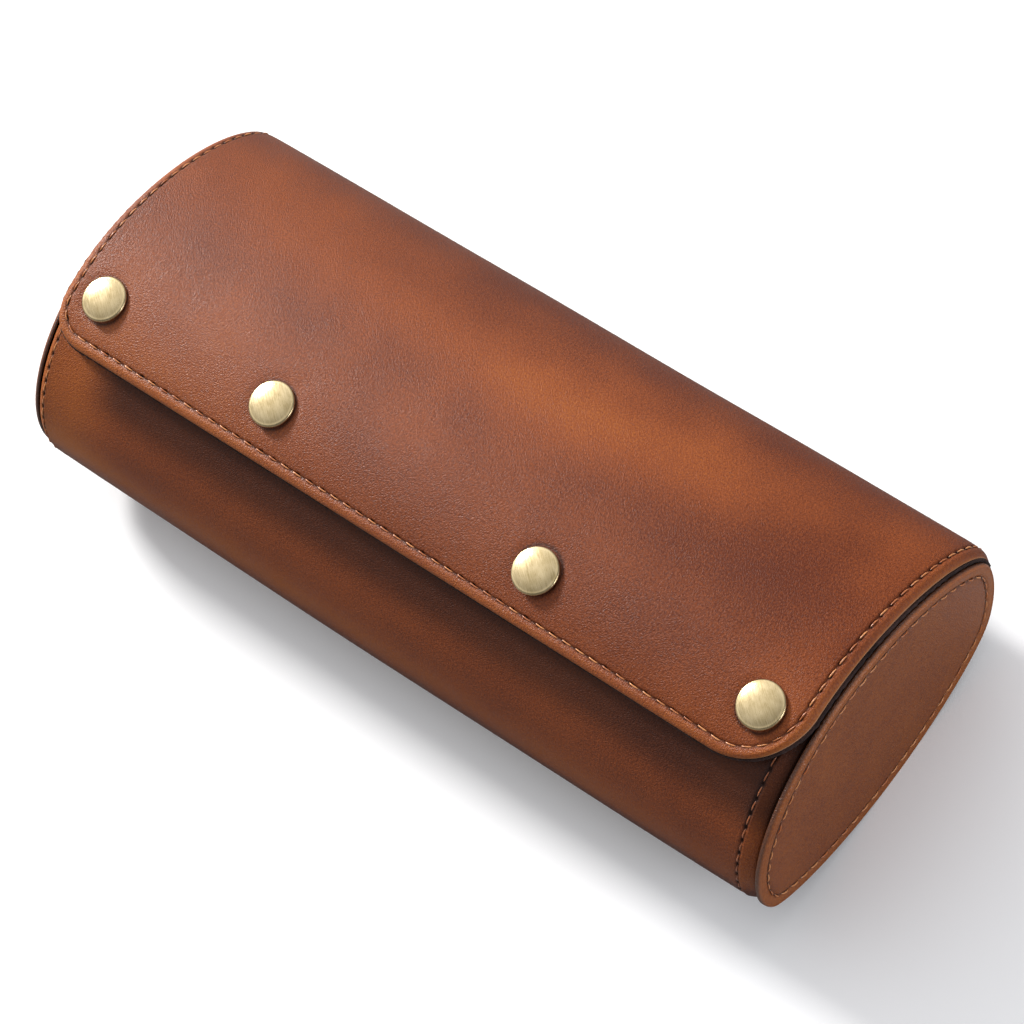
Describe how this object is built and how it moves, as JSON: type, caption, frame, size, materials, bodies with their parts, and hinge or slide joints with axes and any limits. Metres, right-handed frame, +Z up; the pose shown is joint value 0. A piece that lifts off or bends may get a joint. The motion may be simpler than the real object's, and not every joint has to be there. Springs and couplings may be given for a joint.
{
  "type": "watch travel case",
  "caption": "Oval leather watch roll that lies on its flat side, with a snap-down flap hinged along the back, divided compartments and lift-out watch cushions.",
  "frame": {"origin": "on the floor, at the centre of the case's footprint", "axes": "+X along the case's length, towards the right end as seen from the front; +Z up; -Y is the front, where the flap closes"},
  "size_m": [0.2414, 0.1014, 0.067],
  "materials": {
    "leather": "oiled pull-up leather, satin",
    "edge_leather": "darker collar leather, matt",
    "suede": "brushed suede, matt",
    "board": "grey fibre board, matt",
    "microfibre": "soft microfibre, matt",
    "foam": "open foam, matt",
    "brass": "pale brushed brass",
    "spring_brass": "plain brass"
  },
  "bodies": {
    "case": {"outer_wrap": "leather", "shell_board": "board", "shell_lining": "suede", "left_end_panel": "leather", "right_end_panel": "leather", "left_end_board": "board", "right_end_board": "board", "left_end_lining": "suede", "right_end_lining": "suede", "left_collar": "edge_leather", "right_collar": "edge_leather", "left_divider_board": "board", "right_divider_board": "board", "left_divider_cover": "suede", "right_divider_cover": "suede", "flap_anchor": "leather", "snap_studs": "brass", "snap_posts": "spring_brass"},
    "flap": {"flap_leather": "leather", "flap_lining": "suede", "snap_caps": "brass", "snap_sockets": "spring_brass", "snap_springs": "spring_brass"},
    "left_cushion": {"left_cushion_cover": "microfibre", "left_cushion_core": "foam"},
    "middle_cushion": {"middle_cushion_cover": "microfibre", "middle_cushion_core": "foam"},
    "right_cushion": {"right_cushion_cover": "microfibre", "right_cushion_core": "foam"}
  },
  "joints": [
    {"name": "flap_hinge", "type": "hinge", "parent": "case", "child": "flap", "pos_m": [0, 0.0498, 0.03602], "axis": [-1, 0, 0], "range_deg": [0, 150]},
    {"name": "left_cushion_lift", "type": "slide", "parent": "case", "child": "left_cushion", "axis": [0, 0.5592, 0.829], "range_m": [0, 0.05]},
    {"name": "middle_cushion_lift", "type": "slide", "parent": "case", "child": "middle_cushion", "axis": [0, 0.5592, 0.829], "range_m": [0, 0.05]},
    {"name": "right_cushion_lift", "type": "slide", "parent": "case", "child": "right_cushion", "axis": [0, 0.5592, 0.829], "range_m": [0, 0.05]}
  ],
  "couplings": [
    {"joint": "left_cushion_lift", "follows": "flap_hinge", "m_per_rad": 0.019},
    {"joint": "middle_cushion_lift", "follows": "flap_hinge", "m_per_rad": 0.019},
    {"joint": "right_cushion_lift", "follows": "flap_hinge", "m_per_rad": 0.019}
  ]
}
